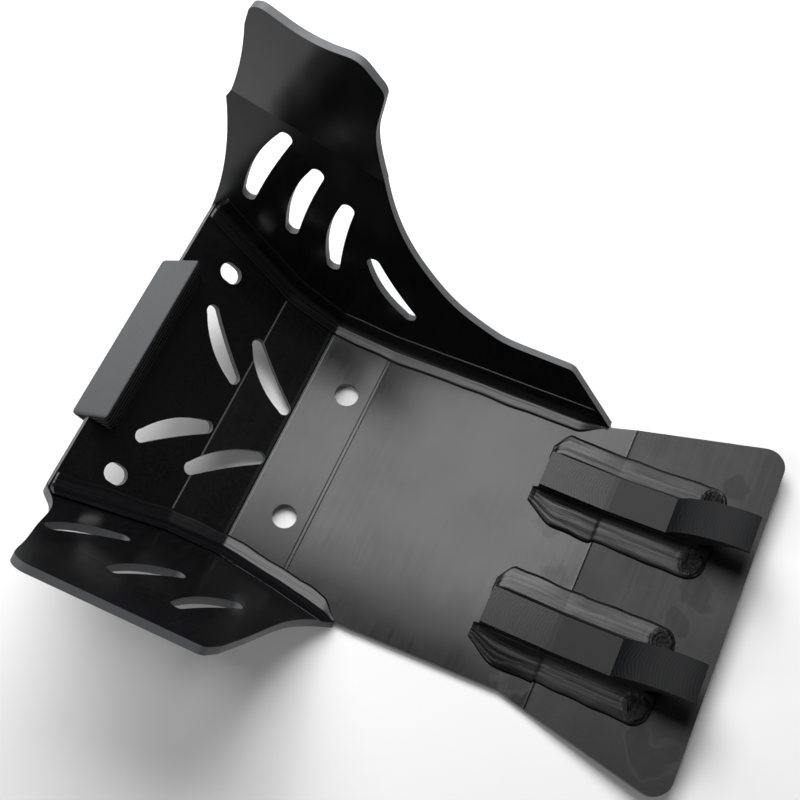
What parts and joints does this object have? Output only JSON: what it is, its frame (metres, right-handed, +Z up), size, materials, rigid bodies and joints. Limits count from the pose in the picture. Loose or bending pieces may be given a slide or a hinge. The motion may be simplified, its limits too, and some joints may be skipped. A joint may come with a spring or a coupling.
{
  "type": "motorcycle skid plate",
  "caption": "Bent sheet skid plate for a motorcycle, with a tall right wing, a low left wing, rear claw hooks for a frame tube and a foam pad on the front edge.",
  "frame": {"origin": "on the centre line, on the underside of the flat main panel, where it bends up into the strip with the bolt holes", "axes": "+Y towards the front of the motorcycle, +X towards its right side, +Z up; the main panel lies flat in XY"},
  "size_m": [0.2931, 0.4014, 0.2502],
  "materials": {
    "coated_sheet": "gloss black anodised or coated aluminium sheet, faint rolling and handling marks",
    "coated_bar": "black coated milled aluminium, arc-shaped cutter marks",
    "coated_weld": "black coated weld bead with lengthwise streaks",
    "foam": "matt grey closed-cell foam"
  },
  "bodies": {
    "root": {"base_plate": "coated_sheet", "right_wing": "coated_sheet", "left_wing": "coated_sheet", "right_wing_weld": "coated_weld", "left_wing_weld": "coated_weld", "right_hook": "coated_bar", "left_hook": "coated_bar", "right_hook_left_weld": "coated_weld", "right_hook_right_weld": "coated_weld", "left_hook_left_weld": "coated_weld", "left_hook_right_weld": "coated_weld", "foam_pad": "foam"}
  },
  "joints": []
}
